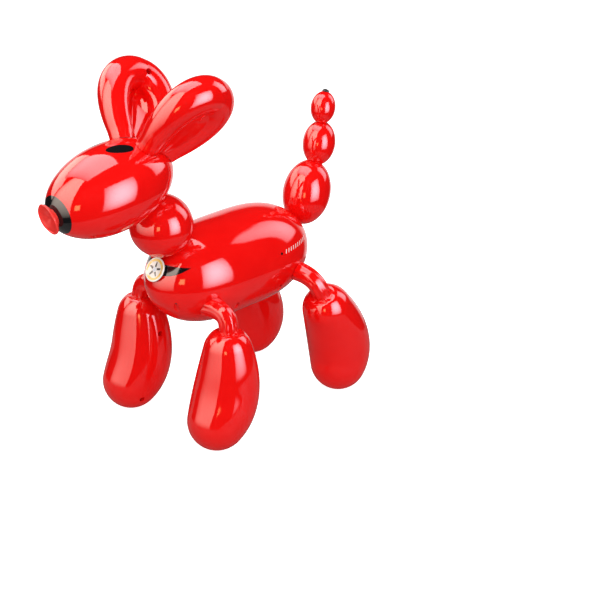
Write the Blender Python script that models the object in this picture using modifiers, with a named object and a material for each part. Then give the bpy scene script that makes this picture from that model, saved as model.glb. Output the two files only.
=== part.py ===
"""A toy dog in glossy red moulded plastic, in the shape of a dog twisted from one long balloon.

Metres, +Z up. The dog stands on z = 0 and faces -Y, and its left side is +X. Each bubble is a hollow
shell in the real toy and a solid here. Where two mouldings meet, the smaller one is cut back by the
larger one and a small gap, so that every piece keeps its own closed surface.
"""

from dataclasses import dataclass
from math import acos, asin, atan2, cos, hypot, pi, radians, sin

import bmesh
import bpy
from mathutils import Matrix, Vector

COLLECTION_NAME = "balloon_dog"
CUTTER_COLLECTION_NAME = "cutters"

GAP = 0.0003
EMBED = 0.006
SHARP_ANGLE = radians(38.0)

TORSO_LENGTH = 0.149
TORSO_RADIUS = 0.0372
TORSO_CENTRE = Vector((0.0, 0.0236, 0.1137))
TORSO_FULLNESS = 3.3
TORSO_ROUNDNESS = 1.6

NECK_RADIUS = 0.0226
NECK_CENTRE = Vector((0.0, -0.0398, 0.1595))

HEAD_LENGTH = 0.100
HEAD_RADIUS = 0.0298
HEAD_CENTRE = Vector((0.0, -0.0825, 0.1979))
HEAD_NOD = radians(9.0)

NOZZLE_NOD = radians(10.5)
NOZZLE_LIP_RADIUS = 0.0097
NOZZLE_LIP_REACH = 0.0026
NOZZLE_ROOT_RADIUS = 0.0054
NOZZLE_WALL = 0.0013
NOZZLE_MOUTH_DEPTH = 0.0055
NOZZLE_THROAT_RADIUS = 0.0030
NOZZLE_STEPS = 18
NOZZLE_FLARE_RINGS = 5

EAR_BASE = Vector((0.0137, -0.0475, 0.2232))
EAR_RISE = radians(44.0)
EAR_SPREAD = radians(43.4)
EAR_TURN = radians(15.2)
EAR_LENGTH = 0.0472
EAR_ROOT_HALF_SPAN = 0.0130
EAR_LIMB_BULGE = (0.0282, 0.0322)
EAR_CROWN_HALF_SPAN = 0.0122
EAR_ROOT_RADIUS = 0.0085
EAR_LIMB_RADIUS = 0.0137
EAR_CROWN_RADIUS = 0.0119
EAR_WEB_THICKNESS = 0.010
EAR_WEB_SPAN = 0.97
EAR_BURIED_HALF_SPAN = 0.0107
EAR_BURIED_RADIUS = 0.0078

MEDALLION_RADIUS = 0.0088
MEDALLION_THICKNESS = 0.0014
MEDALLION_BOSS_RADIUS = 0.0062
MEDALLION_HEIGHT = 0.0138
MEDALLION_TILT = radians(31.0)
MEDALLION_LIFT = 0.0007
MEDALLION_EDGE = 0.0003
MEDALLION_STEPS = 24

TAIL_BUTTON_RADIUS = 0.0027
TAIL_BUTTON_HEIGHT = 0.0016
TAIL_BUTTON_STEPS = 12
TAIL_BUTTON_RINGS = 5

STUB_RADIUS = 0.0070
STUB_ROOT_FLARE = 1.10
STUB_END_PINCH = 0.92
STUB_POINTS = 10
SCREW_WELL_RADIUS = 0.0019
SCREW_WELL_DEPTH = 0.0030
SCREW_WELL_SIDES = 8

RED = (0.87, 0.012, 0.010, 1.0)
NOZZLE_RED = (0.90, 0.045, 0.035, 1.0)
CREAM = (0.86, 0.82, 0.66, 1.0)
BLACK = (0.015, 0.014, 0.014, 1.0)

HEAD_SEGMENTS = 28
HEAD_RINGS = 18
NECK_SEGMENTS = 24
NECK_RINGS = 14
TAIL_SEGMENTS = 16
TAIL_RINGS = 12
TORSO_STEPS = 28
TORSO_RINGS = 20
POD_SEGMENTS = 20
POD_RINGS = 14
POD_CAP_SHARE = 0.27
LIMB_POINTS = 9


@dataclass(frozen=True)
class Bubble:
    """An egg-shaped bubble in the middle plane: its centre, half length, radius and lean from +Y."""

    y: float
    z: float
    half_length: float
    radius: float
    lean: float


@dataclass(frozen=True)
class Leg:
    """A bean-shaped pod as three balls of (place, radius), top first, and where its stub leaves the body."""

    top: tuple[Vector, float]
    middle: tuple[Vector, float]
    foot: tuple[Vector, float]
    stub_root: Vector
    stub_elbow: Vector
    foot_well: Vector


TAIL_BUBBLES = (
    Bubble(y=0.1089, z=0.1452, half_length=0.0252, radius=0.0184, lean=radians(71.0)),
    Bubble(y=0.1227, z=0.1814, half_length=0.0171, radius=0.0126, lean=radians(77.5)),
    Bubble(y=0.1270, z=0.2084, half_length=0.0125, radius=0.0095, lean=radians(77.0)),
)

CHEST_WELLS = ((0.0149, -0.0416), (0.0308, 0.0014), (0.0308, 0.0458), (0.0149, 0.0888))
HEAD_WELL = (0.0140, -0.1127)
UPPER_LEG_WELL_SHARE = 0.85
EAR_WELL_HEIGHT = 0.0450

FRONT_LEG = Leg(
    top=(Vector((0.0466, -0.0232, 0.0722)), 0.0177),
    middle=(Vector((0.0465, -0.0256, 0.0413)), 0.0238),
    foot=(Vector((0.0468, -0.0357, 0.0211)), 0.0215),
    stub_root=Vector((0.0200, -0.0215, 0.0992)),
    stub_elbow=Vector((0.0440, -0.0210, 0.1025)),
    foot_well=Vector((-0.88, -0.28, -0.36)),
)
REAR_LEG = Leg(
    top=(Vector((0.0495, 0.0783, 0.0726)), 0.0188),
    middle=(Vector((0.0463, 0.0945, 0.0419)), 0.0240),
    foot=(Vector((0.0475, 0.0940, 0.0211)), 0.0216),
    stub_root=Vector((0.0200, 0.0640, 0.1016)),
    stub_elbow=Vector((0.0465, 0.0665, 0.1035)),
    foot_well=Vector((-0.88, 0.28, -0.36)),
)


def clear_scene():
    """Remove what the file starts with."""
    for item in list(bpy.data.objects):
        bpy.data.objects.remove(item, do_unlink=True)


def new_collection(name, hidden=False):
    """Return a new collection linked to the scene."""
    collection = bpy.data.collections.new(name)
    bpy.context.scene.collection.children.link(collection)
    collection.hide_render = hidden
    return collection


def plastic(name, colour, roughness, coat=0.0):
    """Return a moulded plastic finish."""
    material = bpy.data.materials.new(name)
    material.use_nodes = True
    shader = material.node_tree.nodes["Principled BSDF"]
    shader.inputs["Base Color"].default_value = colour
    shader.inputs["Roughness"].default_value = roughness
    shader.inputs["Metallic"].default_value = 0.0
    shader.inputs["Coat Weight"].default_value = coat
    return material


def add_object(name, mesh, collection, material=None):
    """Link a mesh as a named object and shade its round faces smooth."""
    item = bpy.data.objects.new(name, mesh)
    collection.objects.link(item)
    if material is not None:
        mesh.materials.clear()
        mesh.materials.append(material)
    mesh.shade_smooth()
    mesh.set_sharp_from_angle(angle=SHARP_ANGLE)
    return item


def as_cutter(item):
    """Mark an object as a tool that is drawn as wire and left out of renders."""
    item.hide_render = True
    item.display_type = "WIRE"
    return item


def mesh_from(build):
    """Return a mesh made by a function that fills a bmesh, with its faces pointing out."""
    shape = bmesh.new()
    build(shape)
    bmesh.ops.recalc_face_normals(shape, faces=shape.faces)
    mesh = bpy.data.meshes.new("form")
    shape.to_mesh(mesh)
    shape.free()
    return mesh


def baked(item):
    """Replace an object's mesh or curve by its evaluated mesh, with loose caps welded, and return it."""
    graph = bpy.context.evaluated_depsgraph_get()
    mesh = bpy.data.meshes.new_from_object(item.evaluated_get(graph))
    shape = bmesh.new()
    shape.from_mesh(mesh)
    bmesh.ops.remove_doubles(shape, verts=shape.verts, dist=1e-6)
    bmesh.ops.recalc_face_normals(shape, faces=shape.faces)
    shape.to_mesh(mesh)
    shape.free()
    name = item.name
    place = item.matrix_world.copy()
    home = item.users_collection[0]
    bpy.data.objects.remove(item, do_unlink=True)
    solid = add_object(name, mesh, home)
    solid.matrix_world = place
    return solid


def add_boolean(item, other, operation):
    """Give an object a Boolean modifier with another object."""
    modifier = item.modifiers.new(other.name, "BOOLEAN")
    modifier.operation = operation
    modifier.solver = "EXACT"
    modifier.object = other
    return modifier


def lean_matrix(centre, angle):
    """Return the placing whose local +Z points back and up, at an angle above +Y."""
    return Matrix.Translation(centre) @ Matrix.Rotation(angle - pi / 2, 4, "X")


def egg_mesh(half_length, radius, segments, rings):
    """Return an ellipsoid of revolution with its long axis on local Z."""

    def build(shape):
        bmesh.ops.create_uvsphere(shape, u_segments=segments, v_segments=rings, radius=1.0)
        bmesh.ops.scale(shape, vec=(radius, radius, half_length), verts=shape.verts)

    return mesh_from(build)


def screw_object(name, profile, collection, steps):
    """Turn a profile of (radius, height) points, listed down its outer side, about local Z."""
    mesh = bpy.data.meshes.new(name)
    points = [(radius, 0.0, height) for radius, height in profile]
    edges = [(i, i + 1) for i in range(len(points) - 1)]
    mesh.from_pydata(points, edges, [])
    item = bpy.data.objects.new(name, mesh)
    collection.objects.link(item)
    turn = item.modifiers.new("turn", "SCREW")
    turn.steps = steps
    turn.render_steps = steps
    turn.use_merge_vertices = True
    turn.merge_threshold = 1e-5
    turn.use_smooth_shade = True
    bpy.context.view_layer.update()
    return baked(item)


def torso_radius(share, grow=0.0):
    """Return the body bubble's radius at a share of its half length from the middle."""
    return (TORSO_RADIUS + grow) * max(0.0, 1 - abs(share) ** TORSO_FULLNESS) ** (1 / TORSO_ROUNDNESS)


def torso_object(name, collection, grow=0.0, steps=TORSO_STEPS):
    """Return the long body bubble, blunter at its ends than an ellipsoid."""
    half = TORSO_LENGTH / 2 + grow
    profile = []
    for i in range(TORSO_RINGS + 1):
        share = cos(pi * i / TORSO_RINGS)
        profile.append((torso_radius(share, grow), half * share))
    item = screw_object(name, profile, collection, steps)
    item.matrix_world = lean_matrix(TORSO_CENTRE, 0.0)
    return item


def egg_object(name, centre, half_length, radius, lean, collection, segments, rings):
    """Return one egg-shaped bubble placed in the middle plane."""
    item = add_object(name, egg_mesh(half_length, radius, segments, rings), collection)
    item.matrix_world = lean_matrix(centre, lean)
    return item


def head_object(name, collection, grow=0.0):
    """Return the head's egg, with its front end nodding down."""
    return egg_object(name, HEAD_CENTRE, HEAD_LENGTH / 2 + grow, HEAD_RADIUS + grow, HEAD_NOD, collection,
                      HEAD_SEGMENTS, HEAD_RINGS)


def neck_object(name, collection, grow=0.0):
    """Return the round neck bubble."""
    return egg_object(name, NECK_CENTRE, NECK_RADIUS + grow, NECK_RADIUS + grow, pi / 2, collection,
                      NECK_SEGMENTS, NECK_RINGS)


def tapered_tube(name, path, radii, collection, bevel_resolution):
    """Return a closed tube along a path, thicker or thinner at each of its points."""
    curve = bpy.data.curves.new(name, "CURVE")
    curve.dimensions = "3D"
    curve.bevel_depth = 1.0
    curve.bevel_resolution = bevel_resolution
    curve.use_fill_caps = True
    spline = curve.splines.new("POLY")
    spline.points.add(len(path) - 1)
    for point, place, radius in zip(spline.points, path, radii):
        point.co = (*place, 1.0)
        point.radius = radius
    item = bpy.data.objects.new(name, curve)
    collection.objects.link(item)
    bpy.context.view_layer.update()
    return baked(item)


def well(name, place, direction, collection, radius=SCREW_WELL_RADIUS):
    """Return the cutter of a screw well that enters a surface at a place, in a direction."""
    depth = 2 * SCREW_WELL_DEPTH
    mesh = mesh_from(lambda shape: bmesh.ops.create_cone(
        shape, cap_ends=True, segments=SCREW_WELL_SIDES, radius1=radius, radius2=radius, depth=depth))
    item = as_cutter(add_object(name, mesh, collection))
    turn = Vector(direction).to_track_quat("Z", "Y").to_matrix().to_4x4()
    item.matrix_world = Matrix.Translation(place) @ turn
    return item


def cut_wells(item, places, direction, cutters):
    """Sink a row of screw wells into an object."""
    for i, place in enumerate(places):
        add_boolean(item, well(f"{item.name}_well_{i}", place, direction, cutters), "DIFFERENCE")


def underside_wells():
    """Return where the screw wells enter the body's underside, in pairs."""
    places = []
    for x, y in CHEST_WELLS:
        radius = torso_radius((y - TORSO_CENTRE.y) * 2 / TORSO_LENGTH)
        drop = (radius * radius - x * x) ** 0.5
        places += [Vector((side * x, y, TORSO_CENTRE.z - drop)) for side in (1, -1)]
    return places


def head_wells():
    """Return where the pair of screw wells enters the head's underside."""
    x, y = HEAD_WELL
    along = Vector((0, cos(HEAD_NOD), sin(HEAD_NOD)))
    share = (y - HEAD_CENTRE.y) / cos(HEAD_NOD) * 2 / HEAD_LENGTH
    radius = HEAD_RADIUS * (1 - share * share) ** 0.5
    below = Vector((0, sin(HEAD_NOD), -cos(HEAD_NOD))) * (radius * radius - x * x) ** 0.5
    place = HEAD_CENTRE + along * share * HEAD_LENGTH / 2 + below
    return [place + Vector((side * x, 0, 0)) for side in (1, -1)]


def leg_wells(leg):
    """Return where the screw wells enter a leg's inner side: one high, one by the foot."""
    balls = (leg.foot, leg.middle, leg.top)
    centre = quadratic([place for place, _ in balls], UPPER_LEG_WELL_SHARE)
    radius = quadratic([size for _, size in balls], UPPER_LEG_WELL_SHARE)
    foot, foot_radius = leg.foot
    return [centre - Vector((radius, 0, 0)), foot + leg.foot_well.normalized() * foot_radius]


def quadratic(nodes, share):
    """Return the value at a share of the way along the parabola through three values."""
    first, second, third = nodes
    start = 2 * (share - 0.5) * (share - 1)
    middle = -4 * share * (share - 1)
    end = 2 * share * (share - 0.5)
    return first * start + second * middle + third * end


def pod_ring(balls, turn):
    """Return a ring of the skin over a ball that rolls and swells along a bent path.

    The turn runs from 0 at the lower pole to 1 at the upper pole. The first and last parts of it go
    round the end balls, and the rest goes along the path.
    """
    cap = POD_CAP_SHARE
    step = 1e-3
    share = min(1.0, max(0.0, (turn - cap) / (1 - 2 * cap)))
    places = [place for place, _ in balls]
    radii = [radius for _, radius in balls]
    centre = quadratic(places, share)
    radius = quadratic(radii, share)
    ahead = quadratic(places, share + step) - quadratic(places, share - step)
    growth = (quadratic(radii, share + step) - quadratic(radii, share - step)) / ahead.length
    tangent = ahead.normalized()
    angle = acos(growth)
    if turn < cap:
        angle = angle * turn / cap
    elif turn > 1 - cap:
        angle = pi - (pi - angle) * (1 - turn) / cap
    return centre - tangent * radius * cos(angle), radius * sin(angle), tangent


def pod_mesh(leg):
    """Return a leg's bean-shaped pod, bent from a sphere."""
    balls = (leg.foot, leg.middle, leg.top)

    def build(shape):
        bmesh.ops.create_uvsphere(shape, u_segments=POD_SEGMENTS, v_segments=POD_RINGS, radius=1.0)
        for vertex in shape.verts:
            turn = asin(max(-1.0, min(1.0, vertex.co.z))) / pi + 0.5
            centre, radius, tangent = pod_ring(balls, turn)
            side = Vector((1, 0, 0)) - tangent * tangent.x
            side.normalize()
            around = atan2(vertex.co.y, vertex.co.x)
            out = side * cos(around) + tangent.cross(side) * sin(around)
            vertex.co = centre + out * radius if hypot(vertex.co.x, vertex.co.y) > 1e-4 else centre

    return mesh_from(build)


def stub_path(leg):
    """Return the centre line of the bent stub that joins a leg to the body, root first."""
    top, radius = leg.top
    rise = (top - leg.middle[0]).normalized()
    crown = top + rise * radius
    sunk = crown - rise * EMBED
    bend = crown + rise * STUB_RADIUS
    corner = [leg.stub_root, leg.stub_elbow, bend, sunk]
    points = []
    for i in range(STUB_POINTS + 1):
        share = i / STUB_POINTS
        rest = 1 - share
        weights = (rest ** 3, 3 * rest * rest * share, 3 * rest * share * share, share ** 3)
        points.append(sum((weight * point for weight, point in zip(weights, corner)), Vector()))
    return points


def leg_object(name, leg, collection, cutters):
    """Return a leg: its pod and its stub in one moulding, cut flat under the foot."""
    pod = add_object(name, pod_mesh(leg), collection)
    path = stub_path(leg)
    taper = STUB_END_PINCH - STUB_ROOT_FLARE
    radii = [STUB_RADIUS * (STUB_ROOT_FLARE + taper * i / STUB_POINTS) for i in range(len(path))]
    stub = as_cutter(tapered_tube(name + "_stub", path, radii, cutters, bevel_resolution=3))
    add_boolean(pod, stub, "UNION")
    return pod


def side_mirrored(item, name, collection):
    """Return a copy of an evaluated object on the dog's other side."""
    bpy.context.view_layer.update()
    graph = bpy.context.evaluated_depsgraph_get()
    mesh = bpy.data.meshes.new_from_object(item.evaluated_get(graph))
    mesh.transform(Matrix.Scale(-1.0, 4, (1, 0, 0)) @ item.matrix_world)
    mesh.flip_normals()
    copy = bpy.data.objects.new(name, mesh)
    collection.objects.link(copy)
    return copy


def ear_frame():
    """Return the ear's placing: local X across the loop, local Y up along it, local Z out of its face."""
    up = Vector((sin(EAR_SPREAD) * cos(EAR_RISE), cos(EAR_SPREAD) * cos(EAR_RISE), sin(EAR_RISE)))
    level = up.cross(Vector((1, 0, 0))).normalized()
    across = cos(EAR_TURN) * level + sin(EAR_TURN) * up.cross(level)
    out = across.cross(up)
    frame = Matrix((across, up, out)).transposed().to_4x4()
    return Matrix.Translation(EAR_BASE) @ frame


def ear_limb():
    """Return points and radii of one limb's centre line, from inside the head to the crown."""
    corners = ((EAR_ROOT_HALF_SPAN, 0.0), EAR_LIMB_BULGE, (EAR_CROWN_HALF_SPAN, EAR_LENGTH), (0.0, EAR_LENGTH))
    points = [(EAR_BURIED_HALF_SPAN, -EMBED)]
    radii = [EAR_BURIED_RADIUS]
    for i in range(LIMB_POINTS + 1):
        share = i / LIMB_POINTS
        rest = 1 - share
        weights = (rest ** 3, 3 * rest * rest * share, 3 * rest * share * share, share ** 3)
        points.append(tuple(sum(w * corner[axis] for w, corner in zip(weights, corners)) for axis in (0, 1)))
        radii.append(rest * rest * EAR_ROOT_RADIUS + 2 * rest * share * EAR_LIMB_RADIUS
                     + share * share * EAR_CROWN_RADIUS)
    return points, radii


def ear_object(name, collection, cutters):
    """Return the left ear: a bent loop of tube, closed by a thinner web."""
    points, radii = ear_limb()
    loop = [(-x, y) for x, y in points] + [(x, y) for x, y in reversed(points[:-1])]
    loop_radii = radii + radii[-2::-1]
    tube = tapered_tube(name, [(x, y, 0.0) for x, y in loop], loop_radii, collection, bevel_resolution=5)

    outline = bpy.data.curves.new(name + "_web", "CURVE")
    outline.dimensions = "2D"
    outline.fill_mode = "BOTH"
    outline.extrude = EAR_WEB_THICKNESS / 2
    spline = outline.splines.new("POLY")
    spline.points.add(len(loop) - 1)
    for point, (x, y) in zip(spline.points, loop):
        point.co = (x * EAR_WEB_SPAN, max(y, -EMBED / 2), 0.0, 1.0)
    spline.use_cyclic_u = True
    web = bpy.data.objects.new(name + "_web", outline)
    cutters.objects.link(web)
    bpy.context.view_layer.update()
    web = as_cutter(baked(web))

    tube.matrix_world = ear_frame()
    web.matrix_world = ear_frame()
    add_boolean(tube, web, "UNION")
    return tube


def nozzle_object(name, collection):
    """Return the flared balloon nozzle, with its mouth open to the front."""
    lip = NOZZLE_LIP_RADIUS
    root = NOZZLE_ROOT_RADIUS
    reach = NOZZLE_LIP_REACH
    mouth = lip - NOZZLE_WALL
    rim = NOZZLE_WALL / 2
    profile = [(0.0, reach - NOZZLE_MOUTH_DEPTH)]
    for i in range(1, NOZZLE_FLARE_RINGS + 1):
        share = i / NOZZLE_FLARE_RINGS
        profile.append((NOZZLE_THROAT_RADIUS + (mouth - NOZZLE_THROAT_RADIUS) * share,
                        reach - NOZZLE_MOUTH_DEPTH * cos(share * pi / 2)))
    for angle in (pi * 0.7, pi * 0.35, 0.0):
        profile.append((lip - rim + rim * cos(angle), reach + rim * sin(angle)))
    for i in range(1, NOZZLE_FLARE_RINGS + 1):
        share = i / NOZZLE_FLARE_RINGS
        profile.append((lip - (lip - root) * sin(share * pi / 2), reach - rim - share * (reach + EMBED / 2)))
    profile.append((root, -EMBED))
    profile.append((0.0, -EMBED))
    item = screw_object(name, profile, collection, NOZZLE_STEPS)
    pole = HEAD_CENTRE + Vector((0, -cos(HEAD_NOD), -sin(HEAD_NOD))) * HEAD_LENGTH / 2
    item.matrix_world = Matrix.Translation(pole) @ Matrix.Rotation(pi / 2 + NOZZLE_NOD, 4, "X")
    return item


def medallion_object(name, collection):
    """Return the thin disc on the chest, with the boss that it stands on."""
    edge = MEDALLION_EDGE
    profile = [
        (0.0, MEDALLION_THICKNESS),
        (MEDALLION_RADIUS - edge, MEDALLION_THICKNESS),
        (MEDALLION_RADIUS, MEDALLION_THICKNESS - edge),
        (MEDALLION_RADIUS, edge),
        (MEDALLION_RADIUS - edge, 0.0),
        (MEDALLION_BOSS_RADIUS, 0.0),
        (MEDALLION_BOSS_RADIUS, -EMBED),
        (0.0, -EMBED),
    ]
    item = screw_object(name, profile, collection, MEDALLION_STEPS)
    share = (1 - (MEDALLION_HEIGHT / TORSO_RADIUS) ** TORSO_ROUNDNESS) ** (1 / TORSO_FULLNESS)
    front = TORSO_CENTRE + Vector((0, -share * TORSO_LENGTH / 2, MEDALLION_HEIGHT))
    out = Vector((0, -cos(MEDALLION_TILT), sin(MEDALLION_TILT)))
    place = Matrix.Translation(front + out * MEDALLION_LIFT)
    item.matrix_world = place @ Matrix.Rotation(pi / 2 - MEDALLION_TILT, 4, "X")
    return item


def tail_object(name, collection, cutters):
    """Return the tail: three bubbles that shrink upwards, in one moulding."""
    tail = None
    for i, bubble in enumerate(TAIL_BUBBLES):
        place = Vector((0.0, bubble.y, bubble.z))
        home = collection if tail is None else cutters
        egg = egg_object(f"{name}_{i}" if tail else name, place, bubble.half_length, bubble.radius,
                         bubble.lean, home, TAIL_SEGMENTS, TAIL_RINGS)
        if tail is None:
            tail = egg
        else:
            add_boolean(tail, as_cutter(egg), "UNION")
    return tail


def tail_button_object(name, collection, cutters):
    """Return the small dark knob on the tail's end."""
    tip = TAIL_BUBBLES[-1]
    along = Vector((0, cos(tip.lean), sin(tip.lean)))
    profile = [(0.0, TAIL_BUTTON_HEIGHT)]
    for i in range(1, TAIL_BUTTON_RINGS + 1):
        angle = i / TAIL_BUTTON_RINGS * pi / 2
        profile.append((TAIL_BUTTON_RADIUS * sin(angle), TAIL_BUTTON_HEIGHT * cos(angle)))
    profile.append((TAIL_BUTTON_RADIUS, -TAIL_BUTTON_HEIGHT))
    profile.append((0.0, -TAIL_BUTTON_HEIGHT))
    item = screw_object(name, profile, collection, TAIL_BUTTON_STEPS)
    top = Vector((0, tip.y, tip.z)) + along * tip.half_length
    item.matrix_world = lean_matrix(top, tip.lean)
    grown = as_cutter(egg_object("tail_tip_grown", Vector((0, tip.y, tip.z)), tip.half_length + GAP,
                                 tip.radius + GAP, tip.lean, cutters, TAIL_SEGMENTS, TAIL_RINGS))
    add_boolean(item, grown, "DIFFERENCE")
    return item


def floor_cutter(cutters):
    """Return the block that cuts the feet flat at z = 0."""
    side = 0.4
    mesh = mesh_from(lambda shape: bmesh.ops.create_cube(shape, size=side))
    block = as_cutter(add_object("floor", mesh, cutters))
    block.location = (0, 0, -side / 2)
    return block


def main():
    """Build the dog, piece by piece."""
    clear_scene()
    dog = new_collection(COLLECTION_NAME)
    cutters = new_collection(CUTTER_COLLECTION_NAME, hidden=True)
    red = plastic("glossy_red_plastic", RED, 0.12, coat=0.6)

    grown_head = as_cutter(head_object("head_grown", cutters, grow=GAP))
    grown_torso = as_cutter(torso_object("torso_grown", cutters, grow=GAP))

    head = head_object("head", dog)
    torso = torso_object("torso", dog)
    cut_wells(head, head_wells(), Vector((0, 0, 1)), cutters)
    cut_wells(torso, underside_wells(), Vector((0, 0, 1)), cutters)
    neck = neck_object("neck_bubble", dog)
    add_boolean(neck, grown_head, "DIFFERENCE")
    add_boolean(neck, grown_torso, "DIFFERENCE")

    nozzle = nozzle_object("nose_nozzle", dog)
    add_boolean(nozzle, grown_head, "DIFFERENCE")
    ear = ear_object("ear_left", dog, cutters)
    add_boolean(ear, grown_head, "DIFFERENCE")
    frame = ear_frame()
    inner_face = frame @ Vector((0, EAR_WELL_HEIGHT, -EAR_CROWN_RADIUS))
    cut_wells(ear, [inner_face], frame.to_3x3() @ Vector((0, 0, 1)), cutters)

    medallion = medallion_object("collar_medallion", dog)
    add_boolean(medallion, grown_torso, "DIFFERENCE")
    tail = tail_object("tail", dog, cutters)
    add_boolean(tail, grown_torso, "DIFFERENCE")
    button = tail_button_object("tail_tip_button", dog, cutters)

    floor = floor_cutter(cutters)
    legs = []
    for name, leg in (("leg_front_left", FRONT_LEG), ("leg_rear_left", REAR_LEG)):
        item = leg_object(name, leg, dog, cutters)
        add_boolean(item, grown_torso, "DIFFERENCE")
        add_boolean(item, floor, "DIFFERENCE")
        cut_wells(item, leg_wells(leg), Vector((1, 0, 0)), cutters)
        legs.append(item)

    mirrored = [side_mirrored(item, item.name.replace("left", "right"), dog) for item in (ear, *legs)]
    for item in (head, torso, neck, ear, tail, *legs, *mirrored):
        item.data.materials.clear()
        item.data.materials.append(red)
    for item, material in (
        (nozzle, plastic("soft_red_nozzle", NOZZLE_RED, 0.3)),
        (medallion, plastic("printed_disc", CREAM, 0.25)),
        (button, plastic("black_plastic", BLACK, 0.3)),
    ):
        item.data.materials.clear()
        item.data.materials.append(material)


main()
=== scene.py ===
"""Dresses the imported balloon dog: fine glossy mouldings, painted patches, screws and soft studio light.

Metres, +Z up, in the frame of the CAD. The dog faces -Y and its left side is +X.
"""

import logging
from collections.abc import Callable, Sequence
from dataclasses import dataclass, field, replace
from enum import Enum
from math import acos, atan2, cos, exp, hypot, pi, radians, sin, sqrt

import bmesh
import bpy
from mathutils import Matrix, Vector

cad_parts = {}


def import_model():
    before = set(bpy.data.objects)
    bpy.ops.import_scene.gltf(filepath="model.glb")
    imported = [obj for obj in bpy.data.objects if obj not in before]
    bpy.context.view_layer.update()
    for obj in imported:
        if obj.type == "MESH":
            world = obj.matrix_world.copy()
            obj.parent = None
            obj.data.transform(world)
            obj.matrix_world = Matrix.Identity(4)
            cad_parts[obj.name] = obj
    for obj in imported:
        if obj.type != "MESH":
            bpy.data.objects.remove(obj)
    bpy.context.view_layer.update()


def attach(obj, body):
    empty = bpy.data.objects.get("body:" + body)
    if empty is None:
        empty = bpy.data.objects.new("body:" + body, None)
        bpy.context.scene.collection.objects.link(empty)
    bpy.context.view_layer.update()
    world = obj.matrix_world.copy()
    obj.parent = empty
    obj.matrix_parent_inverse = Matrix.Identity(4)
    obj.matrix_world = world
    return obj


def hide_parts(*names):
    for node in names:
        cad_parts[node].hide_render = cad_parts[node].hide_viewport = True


LOG = logging.getLogger("balloon_dog")
BODY = "root"
GAP = 0.0003
EMBED = 0.006
TINY_SHARE = 1e-3
MIRROR = Matrix.Scale(-1.0, 4, (1, 0, 0))
FINEST, FINE, MEDIUM, COARSE = (176, 144), (144, 112), (128, 96), (112, 80)
Point = tuple[float, float, float]
Colour = tuple[float, float, float, float]
BLACK: Colour = (0.0, 0.0, 0.0, 1.0)
WHITE: Colour = (1.0, 1.0, 1.0, 1.0)


class Slot(Enum):
    """The record's material slots."""

    SHELL = "red_shell"
    NOZZLE = "red_nozzle"
    DISC = "printed_disc"
    KNOB = "black_knob"


class Side(Enum):
    """The dog's two sides, by the sign of X."""

    LEFT = 1
    RIGHT = -1


class Join(Enum):
    """The ways to put two meshes together."""

    ADD = "UNION"
    CUT = "DIFFERENCE"


def operator(operation: str, flip: bool = False) -> Callable[..., "Value"]:
    """Make an operator of Value.

    Args:
        operation: the Math node's operation.
        flip: put the operator's own value second.

    Returns:
        A method that puts a value and others through one Math node.
    """

    def method(self: "Value", *others: "Value | float") -> "Value":
        """Return the Math node's result."""
        return self.maths(operation, *others, flip=flip)

    return method


class Value:
    """One output of a node tree, on which arithmetic adds Math nodes."""

    __add__ = __radd__ = operator("ADD")
    __sub__ = operator("SUBTRACT")
    __rsub__ = operator("SUBTRACT", flip=True)
    __mul__ = __rmul__ = operator("MULTIPLY")
    __truediv__ = operator("DIVIDE")
    __rtruediv__ = operator("DIVIDE", flip=True)
    __pow__ = operator("POWER")
    __abs__ = operator("ABSOLUTE")
    root = operator("SQRT")

    def __init__(self, tree: "Tree", socket: bpy.types.NodeSocket) -> None:
        """Wrap a socket of a tree."""
        self.tree = tree
        self.socket = socket

    def maths(self, operation: str, *others: "Value | float", flip: bool = False) -> "Value":
        """Return this value and others, in this order or flipped, put through one Math node."""
        values = (self, *others)[:: -1 if flip else 1]
        return self.tree.node("ShaderNodeMath", dict(enumerate(values)), operation=operation)

    def below(self, limit: "Value | float", blur: float) -> "Value":
        """Return 1 where this value is under a limit and 0 above it, fading over the blur's width."""
        return self.tree.clamped((limit - self) * (1 / blur) + 0.5)

    def above(self, limit: "Value | float", blur: float) -> "Value":
        """Return 1 where this value is over a limit and 0 below it, fading over the blur's width."""
        return self.tree.clamped((self - limit) * (1 / blur) + 0.5)


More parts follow.
